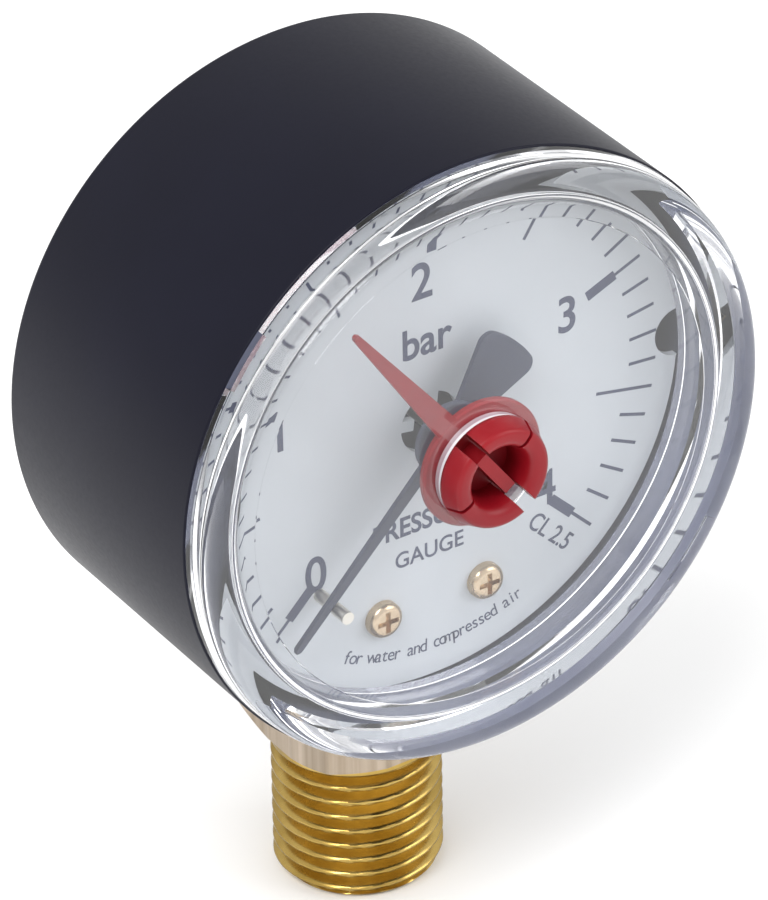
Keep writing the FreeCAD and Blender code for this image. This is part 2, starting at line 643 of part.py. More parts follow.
def set_hand():
    """Hub disc, blade and the four snap fingers that stand through the window's hole."""
    back = disc(SET_HUB, SET_HUB_LAYER)
    hub_front = SET_HUB_LAYER[0]
    barb = WINDOW_FRONT - 0.15
    shoulder, crest = KNOB_FRONT + 0.3, KNOB_FRONT
    fingers = turned([
        (KNOB_BORE, hub_front), (KNOB_NECK, hub_front), (KNOB_NECK, barb), (KNOB_BARB, barb),
        (KNOB_BARB, barb - 0.35), (KNOB_SHOULDER + 0.3, barb - 1.0), (KNOB_SHOULDER, shoulder),
        (KNOB_SHOULDER - 0.4, crest), (KNOB_MOUTH + 0.3, crest), (KNOB_MOUTH, crest + 0.1),
        (KNOB_BORE + 0.1, crest + 0.5), (KNOB_BORE, crest + 1.2),
    ])
    long_slot = Part.makeBox(KNOB_SLOT, 10, 20, at(-KNOB_SLOT / 2, -10, KNOB_FLOOR - 10))
    split = Part.makeBox(KNOB_SPLIT, 10, 10, at(-KNOB_SPLIT / 2, 0, KNOB_FLOOR - 10))
    fingers = fingers.cut([long_slot] + [about_axis(split, a) for a in SPLIT_ANGLES])
    floor = disc(KNOB_BORE, (KNOB_FLOOR, hub_front))
    web = Part.makeBox(WEB_WIDTH, hub_front - KNOB_WEB, WEB_LENGTH,
                       at(-WEB_WIDTH / 2, -WEB_LENGTH / 2, KNOB_WEB))
    blade = slab([(-1.0, 4.0), (-0.25, SET_HAND_TIP - 0.2), (0.0, SET_HAND_TIP), (0.25, SET_HAND_TIP - 0.2),
                  (1.0, 4.0)], SET_BLADE_LAYER)
    return about_axis(back.fuse([fingers, floor, web, blade]).removeSplitter(), SET_HAND_AT)


# ---------------------------------------------------------------- write the pieces
PIECES = {
    "case": case, "window": window, "dial": dial, "dial_screws": dial_screws, "stop_pin": stop_pin,
    "stem": stem, "case_screws": case_screws, "bourdon_tube": bourdon_tube, "tube_tip": tube_tip,
    "tip_pin": tip_pin, "link": link, "lever_pin": lever_pin_piece, "sector_gear": sector_gear,
    "sector_arbor": sector_arbor, "pinion": pinion, "front_plate": front_plate, "back_plate": back_plate,
    "pillars": pillars, "plate_screws": plate_screws, "mounting_screws": mounting_screws,
    "hairspring": hairspring, "hairspring_collet": hairspring_collet, "hairspring_stud": hairspring_stud,
    "pointer": pointer, "pointer_hub": pointer_hub, "set_hand": set_hand,
}

os.makedirs("parts", exist_ok=True)
for name, make in PIECES.items():
    shape = make()
    if not shape.isValid():
        raise ValueError(name + " is not a valid shape")
    print(name, len(shape.Solids), round(shape.Volume, 2))
    shape.exportStep("parts/" + name + ".step")
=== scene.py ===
import math

import bmesh
import bpy
import numpy as np
from mathutils import Matrix, Vector


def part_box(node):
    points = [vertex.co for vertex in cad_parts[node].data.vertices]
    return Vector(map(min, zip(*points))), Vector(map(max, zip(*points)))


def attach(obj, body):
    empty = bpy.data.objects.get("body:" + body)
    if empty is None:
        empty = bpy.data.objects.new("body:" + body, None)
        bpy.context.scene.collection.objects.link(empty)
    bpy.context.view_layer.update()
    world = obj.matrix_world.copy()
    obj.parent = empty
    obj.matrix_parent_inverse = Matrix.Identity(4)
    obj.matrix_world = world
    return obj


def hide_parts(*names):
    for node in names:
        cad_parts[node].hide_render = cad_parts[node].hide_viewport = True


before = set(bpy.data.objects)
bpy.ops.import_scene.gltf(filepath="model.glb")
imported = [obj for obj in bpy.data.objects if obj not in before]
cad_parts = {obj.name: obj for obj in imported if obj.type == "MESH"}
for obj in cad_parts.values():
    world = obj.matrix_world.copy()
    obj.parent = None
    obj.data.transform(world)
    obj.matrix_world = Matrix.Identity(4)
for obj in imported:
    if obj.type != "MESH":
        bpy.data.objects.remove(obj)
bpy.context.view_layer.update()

MM = 0.001

# ---------------------------------------------------------------- places taken from the frame
case_low, case_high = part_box("case")
window_low, window_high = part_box("window")
dial_low, dial_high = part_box("dial")
stem_low, stem_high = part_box("stem")
pointer_low, pointer_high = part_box("pointer")
set_low, set_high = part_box("set_hand")

CENTRE = (case_low.z + case_high.z) / 2          # height of the case axis
CASE_RADIUS = (case_high.x - case_low.x) / 2
CASE_FRONT = case_low.y
CASE_BACK = case_high.y
WINDOW_RADIUS = (window_high.x - window_low.x) / 2
WINDOW_FRONT = window_low.y
DIAL_FRONT = dial_low.y
DIAL_THICK = dial_high.y - dial_low.y
DIAL_RADIUS = (dial_high.z - dial_low.z) / 2
KNOB_FRONT = set_low.y
SQUARE_HALF = (stem_high.x - stem_low.x) / 2

# ---------------------------------------------------------------- sizes of the details, in millimetres
CASE_WALL = 1.56
CASE_FLOOR = 1.6              # thickness of the case's back
CASE_SHOULDER = 7.46          # the barrel ends here and slants to the back
CASE_BEVEL = 2.0
CASE_MOUTH = 0.64             # bevel at the mouth
FLOOR_CORNER = 1.0
FRONT_ROUND = 0.15            # roundings of the case's outer edges
SHOULDER_ROUND = 0.5
SHOULDER_SETBACK = 0.21
BACK_ROUND = 0.8
BACK_INSET = 0.6
STEM_GAP = 0.08               # between the stem's square and the case's hole
STEM_HOLE_TOP = 21.0          # below the case axis

PANE = 1.5                    # thickness of the window's pane
DRAFT = 6.0                   # of the window's walls
CORNER_WIDE = 1.6             # the outer front corner is a quarter ellipse
CORNER_DEEP = 0.95
CORNER_STEPS = 24
STEP_WIDE = 0.06              # small step at the edge of the pane's flat back
STEP_DEEP = 0.04
CONE_START = 19.55            # the pane's back leans back from here
CONE_TILT = 5.0
FILLET_START = 20.4
FILLET = 0.85
FILLET_STEPS = 16
BARREL = 5.0                  # radius of the inner wall's hollow
BARREL_START = 0.19           # behind the seat
BARREL_TURN = 9.0             # degrees that the wall turns in over the hollow
BARREL_STEPS = 8
BEAD_FRONT = -14.9
BEAD_HEIGHT = 0.32
BEAD_LEAD = 0.3
BEAD_LAND = 0.02
SEAT_INNER = 23.5             # the flat seat ends here and a cone leads to the skirt
SEAT_EDGE = 0.04
SKIRT_OUTER = 22.85
SKIRT_LENGTH = 4.3            # from the case's front edge back
SKIRT_CHAMFER = 0.3
HOLE_RADIUS = 4.2
HOLE_CHAMFER = 0.12
WINDOW_COLUMNS = 288
NOTCHES = ((-52.2, 4.6), (128.0, 5.8))    # clock angle and width
NOTCH_DEPTH = 0.5
NOTCH_FLANK = 0.02            # half of a notch's flank, in degrees
NOTCH_CLEAR = 0.3             # no other column closer to the flank, in degrees

DIAL_NOTCH = 2.0              # radius of the round notches at the dial's sides
NOTCH_TURN = 0.35             # from the notch's corner to the rim's first point, in degrees
DIAL_HOLE = 2.5
DIAL_TABS = (8.0, 98.0, 188.0, 278.0)     # clock angles of the tabs in the dial's hole
TAB_WIDTH = 0.9
TAB_INNER = 1.4

DIAL_SPAN = 270.0
FULL_SCALE = 4
TICKS_PER_BAR = 10
TICK_OUTER = 20.1
TICK_INNER = 17.7
TICK_LONG = 15.0
TICK_WIDTH = 0.26
BLOCK_WIDTH = 0.85
PRINT_THICK = 0.02
LETTER_FRONT = 0.012          # middle of the letters, in front of the dial
LETTER_HALF = 0.01            # half of their thickness
CAPITAL_SHARE = 0.73          # a capital's height as a share of the letters' size
NUMERAL_HEIGHT = 3.1
NUMERALS = {"0": (-10.1, -9.45), "1": (-12.8, 3.6), "2": (-0.5, 12.1), "3": (12.1, 4.9), "4": (10.1, -9.45)}
WORDS = (                     # height of a capital, place, clockwise turn, width, thickening
    ("bar", 2.6, (-0.1, 7.1), 0.0, 0.92, 0.06),
    ("CL 2.5", 1.5, (10.6, -13.4), 45.0, 0.88, 0.02),
    ("PRESSURE", 1.7, (-0.6, -8.2), 0.0, 0.9, 0.05),
    ("GAUGE", 1.4, (-0.2, -11.0), 0.0, 0.95, 0.02),
)
NOTE = "for water and compressed air"
NOTE_HEIGHT = 1.15
NOTE_RADIUS = 19.8            # base line of the small print along the dial's lower edge
NOTE_SPREAD = 23.0

PITCH = 1.337
THREAD_RADIUS = 6.5785
THREAD_DEPTH = 0.856
THREAD_TOP = 12.0
THREAD_FLAT = 0.1             # flats and flanks of the thread, as shares of half a turn
THREAD_FLANK = 0.8
THREAD_ROUNDING = 0.35
THREAD_RUNOUT = 0.6           # in turns
THREAD_CHAMFER = 5.7          # radius at the end face, and the chamfer's slope
CHAMFER_SLOPE = 0.9 / 0.87
RINGS_PER_TURN = 22
STEM_COLUMNS = 256
END_RADIUS = 5.55
PORT_RADIUS = 1.5
PORT_DEPTH = 8.0
PORT_CHAMFER = 0.25
RELIEF = 0.1                  # groove between the thread and the square
RELIEF_END = 0.12
SHOULDER_LIP = 0.05
SQUARE_BOTTOM = 12.6
SQUARE_TURNED = 7.2
SQUARE_CHAMFER = 30.0         # slope of the turned corners, in degrees
SQUARE_CORNER = 0.25
SQUARE_TOP = 23.0

POINTER_AT = -135.7
BLADE_ROOT = 2.2
BLADE_SHOULDER = 19.0
BLADE_TIP = 19.3
BLADE_HALF_ROOT = 0.5
BLADE_HALF_TIP = 0.25
TAIL_NECK = 0.45
TAIL_LENGTH = 8.45
TAIL_SPREAD = 22.0            # half angle of the tail, in degrees
TAIL_CORNER = 1.0
POINTER_RING = 2.4
CAP_FLAT = 1.2                # the cap's front is dished inside this radius
CAP_DISH = 0.02
CAP_ROUND = 0.2
CAP_THICK = 0.3
BOSS_RADIUS = 1.4
BOSS_BORE = 0.6

SET_HAND_AT = -36.5
SET_DISC = 5.12
DISC_THICK = 0.6
DISC_EDGE_FRONT = 0.15
DISC_EDGE_BACK = 0.1
HAND_ROOT = 4.0
HAND_HALF_ROOT = 1.0
HAND_HALF_TIP = 0.28
HAND_TIP_HALF = 0.12          # half of the tip's flat end
HAND_TIP_LENGTH = 0.25
HAND_RECESS = 0.15            # from the disc's back
JOIN = 0.05                   # how far the hand's pieces reach into each other
KNOB_BARB = 4.36
BARB_LEAD = 0.15              # the barbs start this far in front of the pane
BARB_CHAMFER = (0.05, 0.06)
BARB_LENGTH = 0.35
KNOB_NECK = 4.1
KNOB_BORE = 2.3
KNOB_FLOOR = -17.4
LIP_CENTRE = 3.62             # rounded crest of the snap fingers
LIP_RADIUS = 0.42
LIP_SLOPE = (                 # radius and depth behind the crest, from the lip down into the bore
    (3.2, 0.01), (2.95, 0.07), (2.75, 0.18), (2.6, 0.34), (2.48, 0.6), (2.4, 1.0), (KNOB_BORE, 1.6),
)
KNOB_WEB = -19.4              # front of the web in the knob's bore
WEB_WIDTH = 1.0
WEB_LENGTH = 4.2
KNOB_SLOT = 1.2
KNOB_SPLIT = 0.3
SPLIT_ANGLE = 76.0            # of the narrow splits, from the hand
CUTTER_REACH = 9.0            # the slots' cutters end outside the fingers

CAMERA_AZIMUTH = -32.905
CAMERA_ELEVATION = 32.485
CAMERA_ROLL = -1.119
CAMERA_TARGET = (-2.968, -8.0, 42.83)
CAMERA_DISTANCE = 487.616
CAMERA_SENSOR = 36.0
CAMERA_LENS = 267.46
CAMERA_SHIFT = (0.0106, -0.0088)
CAMERA_CLIP = 0.01            # in metres
FLOOR_HALF = 1.5              # in metres
LAMP_AIM = (0.0, 0.0, 0.045)  # in metres

ORIGIN = Vector((0.0, 0.0, CENTRE))


# ---------------------------------------------------------------- mesh helpers
def clock(radius, angle):
    """Across and up, in millimetres, of a point at a clock angle."""
    a = math.radians(angle)
    return radius * math.sin(a), radius * math.cos(a)


def at(across, up, y):
    """A point in metres from millimetres across and up from the case axis."""
    return Vector((across * MM, y * MM, CENTRE + up * MM))


def new_object(name, mesh, material, body):
    """A named piece that rides on a body and belongs to a material slot."""
    obj = bpy.data.objects.new(name, mesh)
    bpy.context.scene.collection.objects.link(obj)
    mesh.materials.append(material)
    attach(obj, body)
    return obj


def shade(mesh, sharp_degrees=32.0):
    """Smooth faces, with the edges over the given angle kept sharp."""
    bm = bmesh.new()
    bm.from_mesh(mesh)
    bmesh.ops.recalc_face_normals(bm, faces=bm.faces)
    limit = math.radians(sharp_degrees)
    for face in bm.faces:
        face.smooth = True
    for edge in bm.edges:
        edge.smooth = len(edge.link_faces) == 2 and edge.calc_face_angle(0.0) < limit
    bm.to_mesh(mesh)
    bm.free()
    return mesh


def arc(centre, radius, start, end, steps=8):
    """Points (r, y) of an arc in the turning plane, angles in degrees from the r direction."""
    return [
        (centre[0] + radius * math.cos(math.radians(start + (end - start) * k / steps)),
         centre[1] + radius * math.sin(math.radians(start + (end - start) * k / steps)))
        for k in range(steps + 1)
    ]


def even_columns(profile, count):
    """The same (r, y) profile at evenly spaced clock angles."""
    return [(360.0 * k / count, profile) for k in range(count)]


def turned_mesh(name, columns):
    """A ring through (clock angle, profile) columns, each profile closed and in millimetres."""
    bm = bmesh.new()
    rings = []
    for angle, points in columns:
        rings.append([bm.verts.new(at(*clock(r, angle), y)) for r, y in points])
    count = len(rings[0])
    for k, ring in enumerate(rings):
        following = rings[(k + 1) % len(rings)]
        for i in range(count):
            j = (i + 1) % count
            bm.faces.new((ring[i], ring[j], following[j], following[i]))
    bmesh.ops.remove_doubles(bm, verts=bm.verts, dist=1e-7)
    bmesh.ops.dissolve_degenerate(bm, edges=bm.edges, dist=1e-8)
    mesh = bpy.data.meshes.new(name)
    bm.to_mesh(mesh)
    bm.free()
    return mesh


def slab_mesh(name, outline, front, back):
    """A flat piece from a closed outline of (across, up) points in millimetres."""
    bm = bmesh.new()
    face = bm.faces.new([bm.verts.new(at(a, u, front)) for a, u in outline])
    extruded = bmesh.ops.extrude_face_region(bm, geom=[face])
    moved = [v for v in extruded["geom"] if isinstance(v, bmesh.types.BMVert)]
    bmesh.ops.translate(bm, verts=moved, vec=(0, (back - front) * MM, 0))
    mesh = bpy.data.meshes.new(name)
    bm.to_mesh(mesh)
    bm.free()
    return mesh


def join_meshes(name, meshes):
    """One mesh holding all the given ones."""
    bm = bmesh.new()
    for mesh in meshes:
        bm.from_mesh(mesh)
    out = bpy.data.meshes.new(name)
    bm.to_mesh(out)
    bm.free()
    return out


def cut(mesh, cutters):
    """mesh minus each cutter mesh."""
    base = bpy.data.objects.new("base", mesh)
    bpy.context.scene.collection.objects.link(base)
    tools = []
    for cutter in cutters:
        tool = bpy.data.objects.new("cutter", cutter)
        bpy.context.scene.collection.objects.link(tool)
        tools.append(tool)
        step = base.modifiers.new("cut", "BOOLEAN")
        step.operation = "DIFFERENCE"
        step.solver = "EXACT"
        step.object = tool
    bpy.context.view_layer.update()
    out = bpy.data.meshes.new_from_object(base.evaluated_get(bpy.context.evaluated_depsgraph_get()))
    base.modifiers.clear()
    for helper in [base] + tools:
        bpy.data.objects.remove(helper)
    return out


def disc_outline(radius, steps=48):
    """A circle about the case axis."""
    return [clock(radius, 360.0 * k / steps) for k in range(steps)]


def turn_outline(outline, angle):
    """An outline drawn at twelve o'clock, turned to a clock angle."""
    a = math.radians(angle)
    return [(x * math.cos(a) + u * math.sin(a), u * math.cos(a) - x * math.sin(a)) for x, u in outline]


def bar_outline(width, inner, outer, angle):
    """A straight bar between two radii at a clock angle."""
    half = width / 2
    return turn_outline([(-half, inner), (-half, outer), (half, outer), (half, inner)], angle)


# ---------------------------------------------------------------- material helpers
def material(name):
    mat = bpy.data.materials.new(name)
    mat.use_nodes = True
    tree = mat.node_tree
    return mat, tree, tree.nodes["Principled BSDF"]


def object_coordinates(tree, scale):
    coords = tree.nodes.new("ShaderNodeTexCoord")
    mapping = tree.nodes.new("ShaderNodeMapping")
    mapping.inputs["Scale"].default_value = scale
    tree.links.new(coords.outputs["Object"], mapping.inputs["Vector"])
    return mapping.outputs["Vector"]


def noise(tree, vector, scale, detail=4.0, roughness=0.55):
    node = tree.nodes.new("ShaderNodeTexNoise")
    node.inputs["Scale"].default_value = scale
    node.inputs["Detail"].default_value = detail
    node.inputs["Roughness"].default_value = roughness
    tree.links.new(vector, node.inputs["Vector"])
    return node.outputs["Fac"]


def ramp(tree, value, stops):
    node = tree.nodes.new("ShaderNodeValToRGB")
    elements = node.color_ramp.elements
    while len(elements) < len(stops):
        elements.new(0.5)
    for element, (position, colour) in zip(elements, stops):
        element.position = position
        element.color = (*colour, 1.0)
    tree.links.new(value, node.inputs["Fac"])
    return node.outputs["Color"]


def span(tree, value, low, high):
    node = tree.nodes.new("ShaderNodeMapRange")
    node.inputs["To Min"].default_value = low
    node.inputs["To Max"].default_value = high
    tree.links.new(value, node.inputs["Value"])
    return node.outputs["Result"]


def bump(tree, shader, height, strength, distance):
    node = tree.nodes.new("ShaderNodeBump")
    node.inputs["Strength"].default_value = strength
    node.inputs["Distance"].default_value = distance
    tree.links.new(height, node.inputs["Height"])
    tree.links.new(node.outputs["Normal"], shader.inputs["Normal"])


def moulded_plastic(name, dark, light, roughness, grain=0.03, specular=0.5):
    """Moulded plastic: slow colour variation, fine spark-eroded grain."""
    mat, tree, shader = material(name)
    vector = object_coordinates(tree, (1, 1, 1))
    slow = noise(tree, vector, 90.0)
    fine = noise(tree, vector, 2600.0, 2.0)
    tree.links.new(ramp(tree, slow, [(0.3, dark), (0.7, light)]), shader.inputs["Base Color"])
    tree.links.new(span(tree, fine, roughness - 0.06, roughness + 0.06), shader.inputs["Roughness"])
    shader.inputs["Specular IOR Level"].default_value = specular
    bump(tree, shader, fine, grain, 0.00005)
    return mat


def clear_plastic():
    """Clear moulded plastic; lamps shine through it on to the dial."""
    mat, tree, shader = material("window_clear")
    shader.inputs["Base Color"].default_value = (0.985, 0.99, 1.0, 1.0)
    shader.inputs["Transmission Weight"].default_value = 1.0
    shader.inputs["IOR"].default_value = 1.5
    vector = object_coordinates(tree, (1, 1, 1))
    wave = noise(tree, vector, 60.0, 2.0)
    tree.links.new(span(tree, wave, 0.0, 0.02), shader.inputs["Roughness"])
    through = tree.nodes.new("ShaderNodeBsdfTransparent")
    through.inputs["Color"].default_value = (0.96, 0.97, 0.99, 1.0)
    path = tree.nodes.new("ShaderNodeLightPath")
    mix = tree.nodes.new("ShaderNodeMixShader")
    tree.links.new(path.outputs["Is Shadow Ray"], mix.inputs["Fac"])
    tree.links.new(shader.outputs["BSDF"], mix.inputs[1])
    tree.links.new(through.outputs["BSDF"], mix.inputs[2])
    tree.links.new(mix.outputs["Shader"], tree.nodes["Material Output"].inputs["Surface"])
    return mat


def frosted_plastic():
    """Sawn edge of the clear plastic: white at the front, and further in a greyish pink that is painted shade
    of the gap with a painted red cast from the set hand.
    """
    mat, tree, shader = material("window_edge")
    vector = object_coordinates(tree, (1, 1, 1))
    fine = noise(tree, vector, 900.0, 2.0)
    axes = tree.nodes.new("ShaderNodeSeparateXYZ")
    tree.links.new(vector, axes.inputs["Vector"])
    depth = tree.nodes.new("ShaderNodeMapRange")
    depth.inputs["From Min"].default_value = WINDOW_FRONT
    depth.inputs["From Max"].default_value = WINDOW_FRONT + PANE * MM
    tree.links.new(axes.outputs["Y"], depth.inputs["Value"])
    # white frosting at the front; further back, painted shade with a painted red cast from the set hand
    stops = [(0.0, (0.95, 0.95, 0.96)), (0.42, (0.93, 0.92, 0.94)),
             (0.52, (0.36, 0.25, 0.30)), (1.0, (0.42, 0.30, 0.34))]
    tree.links.new(ramp(tree, depth.outputs["Result"], stops), shader.inputs["Base Color"])
    tree.links.new(span(tree, fine, 0.4, 0.6), shader.inputs["Roughness"])
    shader.inputs["Transmission Weight"].default_value = 0.45
    return mat


def metal(name, dark, light, roughness, stretch=(1, 1, 1), scale=400.0, depth=0.15, streaked=False,
          painted_slant_shade=0.0):
    """Machined metal with marks drawn out along the axis of the smallest stretch.

    The colour varies with the marks when streaked, and in patches otherwise; the slant shade setting paints
    shade on the parts seen at a slant, standing in for the darker surroundings they reflect.
    """
    mat, tree, shader = material(name)
    shader.inputs["Metallic"].default_value = 1.0
    marks = noise(tree, object_coordinates(tree, stretch), scale, 3.0)
    patches = noise(tree, object_coordinates(tree, (1, 1, 1)), 220.0, 5.0)
    colour = ramp(tree, marks if streaked else patches, [(0.3, dark), (0.7, light)])
    # painted shade: the base colour darkens where the surface is seen at a slant
    if painted_slant_shade:
        facing = tree.nodes.new("ShaderNodeLayerWeight")
        facing.inputs["Blend"].default_value = 0.5
        stops = [(0.35, (1.0, 1.0, 1.0)), (0.85, (1 - painted_slant_shade,) * 3)]
        darker = ramp(tree, facing.outputs["Facing"], stops)
        mix = tree.nodes.new("ShaderNodeMix")
        mix.data_type = "RGBA"
        mix.blend_type = "MULTIPLY"
        mix.inputs["Factor"].default_value = 1.0
        tree.links.new(colour, mix.inputs["A"])
        tree.links.new(darker, mix.inputs["B"])
        colour = mix.outputs["Result"]
    tree.links.new(colour, shader.inputs["Base Color"])
    tree.links.new(span(tree, marks, roughness - 0.1, roughness + 0.12), shader.inputs["Roughness"])
    bump(tree, shader, marks, depth, 0.00004)
    return mat


# ---------------------------------------------------------------- materials
CASE_PLASTIC = moulded_plastic(
    "case_plastic", (0.0024, 0.0025, 0.0095), (0.0034, 0.0036, 0.012), 0.40, specular=0.18)
# the inside of the case takes a far lighter copy of the black case plastic: painted light in the shaded
# inside
CASE_INSIDE_PAINTED_LIGHT = moulded_plastic("case_inside_painted_light", (0.075, 0.082, 0.125), (0.092, 0.10, 0.145), 0.4)
CLEAR = clear_plastic()
CUT_EDGE = frosted_plastic()
DIAL_WHITE = moulded_plastic("dial_white", (0.49, 0.515, 0.54), (0.525, 0.55, 0.575), 0.5, 0.01)
PRINT = moulded_plastic("dial_print", (0.040, 0.048, 0.095), (0.052, 0.062, 0.115), 0.6, 0.01)
POINTER_BLACK = moulded_plastic(
    "pointer_black", (0.028, 0.034, 0.062), (0.038, 0.046, 0.078), 0.5, 0.01)
RED = moulded_plastic("set_hand_red", (0.17, 0.003, 0.008), (0.27, 0.005, 0.010), 0.34, specular=0.3)
# the thread's slanting sides get painted shade, standing in for darker surroundings reflected there
BRASS_THREAD = metal(
    "brass_thread", (0.40, 0.26, 0.06), (0.62, 0.44, 0.14), 0.24, (1, 1, 0.08), painted_slant_shade=0.72)
BRASS_SQUARE = metal(
    "brass_square", (0.29, 0.225, 0.155), (0.53, 0.44, 0.35), 0.36, (1, 1, 0.03), 900.0, 0.3, streaked=True)
SCREW_BRASS = metal("screw_brass", (0.52, 0.40, 0.27), (0.66, 0.52, 0.36), 0.25)
PIN_METAL = metal("pin_metal", (0.62, 0.58, 0.50), (0.75, 0.72, 0.66), 0.3)
STEEL = metal("steel", (0.45, 0.45, 0.47), (0.58, 0.58, 0.60), 0.35)
BRASS_PART = metal("brass_part", (0.68, 0.50, 0.22), (0.80, 0.62, 0.32), 0.3)
# the front plate, brass in the model, is coloured near black: painted shade in the hollow behind the dial's
# centre hole
PLATE_PAINTED_SHADE = moulded_plastic("plate_dark", (0.012, 0.013, 0.03), (0.02, 0.022, 0.045), 0.5, 0.01)
BRONZE = metal("bronze", (0.58, 0.36, 0.20), (0.68, 0.46, 0.28), 0.3)

CAD_MATERIALS = {
    "case_screws": STEEL, "bourdon_tube": BRONZE, "tube_tip": BRASS_PART, "tip_pin": STEEL,
    "link": BRASS_PART, "lever_pin": STEEL, "sector_gear": BRASS_PART, "sector_arbor": STEEL, "pinion": STEEL,
    "front_plate": PLATE_PAINTED_SHADE, "back_plate": BRASS_PART, "pillars": BRASS_PART, "plate_screws": STEEL,
    "mounting_screws": STEEL, "hairspring": BRONZE, "hairspring_collet": BRASS_PART,
    "hairspring_stud": BRASS_PART, "dial_screws": SCREW_BRASS, "stop_pin": PIN_METAL,
}
for node, mat in CAD_MATERIALS.items():
    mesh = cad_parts[node].data
    mesh.materials.clear()
    mesh.materials.append(mat)


# ---------------------------------------------------------------- case
def make_case():
    radius = CASE_RADIUS / MM
    front, back = CASE_FRONT / MM, CASE_BACK / MM
    floor = back - CASE_FLOOR
    inner = radius - CASE_WALL
    end = radius - CASE_BEVEL - BACK_INSET
    round_back = arc((end, back - BACK_ROUND), BACK_ROUND, 90, 45, 5)
    shoulder = (radius - SHOULDER_ROUND, CASE_SHOULDER - SHOULDER_SETBACK)
    round_front = arc((radius - FRONT_ROUND, front + FRONT_ROUND), FRONT_ROUND, 0, -90, 4)
    profile = (
        [(0.0, back), (end, back)] + round_back[1:]
        + arc(shoulder, SHOULDER_ROUND, 0, 45, 6)[::-1]
        + round_front
        + [(inner + CASE_MOUTH - 0.02, front + 0.02), (inner, front + CASE_MOUTH),
           (inner, floor - FLOOR_CORNER), (inner - FLOOR_CORNER, floor), (0.0, floor)]
    )
    mesh = turned_mesh("case_shell", even_columns(profile, 256))
    side = 2 * (SQUARE_HALF + STEM_GAP * MM)
    top = CENTRE - STEM_HOLE_TOP * MM
    bm = bmesh.new()
    bmesh.ops.create_cube(bm, size=1.0)
    bmesh.ops.scale(bm, vec=(side, side, top), verts=bm.verts)
    bmesh.ops.translate(bm, vec=(0, 0, top / 2), verts=bm.verts)
    hole = bpy.data.meshes.new("stem_hole")
    bm.to_mesh(hole)
    bm.free()
    mesh = shade(cut(mesh, [hole]), 28)
    obj = new_object("case_body", mesh, CASE_PLASTIC, "housing")
    # faces inside the case take the lighter copy: painted light where the inside lies in shade
    mesh.materials.append(CASE_INSIDE_PAINTED_LIGHT)
    for face in mesh.polygons:
        middle = face.center - ORIGIN
        reach = math.hypot(middle.x, middle.z) / MM
        face.material_index = int(reach < radius - 0.3 and middle.y / MM < floor + 0.05)
    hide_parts("case")


# ---------------------------------------------------------------- window
def window_inner():
    """Inner side of the window's section from the pane outward: cone, fillet, barrelled wall, bead."""
    seat, pane_back = CASE_FRONT / MM, WINDOW_FRONT / MM + PANE
    tilt, draft = math.radians(CONE_TILT), math.radians(DRAFT)
    points = [(CONE_START - STEP_WIDE, pane_back), (CONE_START, pane_back + STEP_DEEP)]
    r, y = FILLET_START, pane_back + STEP_DEEP + (FILLET_START - CONE_START) * math.tan(tilt)
    points.append((r, y))
    for k in range(1, FILLET_STEPS + 1):
        lean = tilt + (math.pi / 2 - draft - tilt) * k / FILLET_STEPS
        points.append((r + FILLET * (math.sin(lean) - math.sin(tilt)),
                       y + FILLET * (math.cos(tilt) - math.cos(lean))))
    r, y = points[-1]
    r, y = r + (seat + BARREL_START - y) * math.tan(draft), seat + BARREL_START
    points.append((r, y))
    for k in range(1, BARREL_STEPS + 1):
        lean = draft - math.radians(BARREL_TURN) * k / BARREL_STEPS
        points.append((r + BARREL * (math.cos(lean) - math.cos(draft)),
                       y + BARREL * (math.sin(draft) - math.sin(lean))))
    r, y = points[-1]
    return points + [(r - BEAD_LAND, BEAD_FRONT), (r - BEAD_HEIGHT, BEAD_FRONT + BEAD_LEAD),
                     (r - BEAD_HEIGHT, seat + SKIRT_LENGTH)]


def window_profile(notched):
    """Closed outline of the window's section, (r, y) in millimetres."""
    radius, front, seat = WINDOW_RADIUS / MM, WINDOW_FRONT / MM, CASE_FRONT / MM
    outer_seat = seat - NOTCH_DEPTH if notched else seat
    skirt_back = seat + SKIRT_LENGTH
    hole = [(HOLE_RADIUS, front + PANE), (HOLE_RADIUS, front + HOLE_CHAMFER),
            (HOLE_RADIUS + HOLE_CHAMFER, front)]
    # rounded corner: a quarter of an ellipse up to where it meets the wall's draft
    slope = math.tan(math.radians(DRAFT))
    end = math.atan(CORNER_WIDE / (slope * CORNER_DEEP))
    wall_front = front + CORNER_DEEP * (1 - math.cos(end))
    wall = radius - (seat - wall_front) * slope
    middle = wall - CORNER_WIDE * math.sin(end)
    corner = []
    for k in range(CORNER_STEPS + 1):
        turn = end * k / CORNER_STEPS
        corner.append((middle + CORNER_WIDE * math.sin(turn), front + CORNER_DEEP * (1 - math.cos(turn))))
    edge = radius - (seat - outer_seat) * slope
    seat_edge = [(edge, outer_seat - SEAT_EDGE), (edge - SEAT_EDGE, outer_seat), (SEAT_INNER, outer_seat),
                 (SEAT_INNER, seat), (SKIRT_OUTER, seat + SEAT_INNER - SKIRT_OUTER)]
    skirt_end = [(SKIRT_OUTER, skirt_back - SKIRT_CHAMFER), (SKIRT_OUTER - SKIRT_CHAMFER, skirt_back)]
    return hole + corner + seat_edge + skirt_end + window_inner()[::-1]


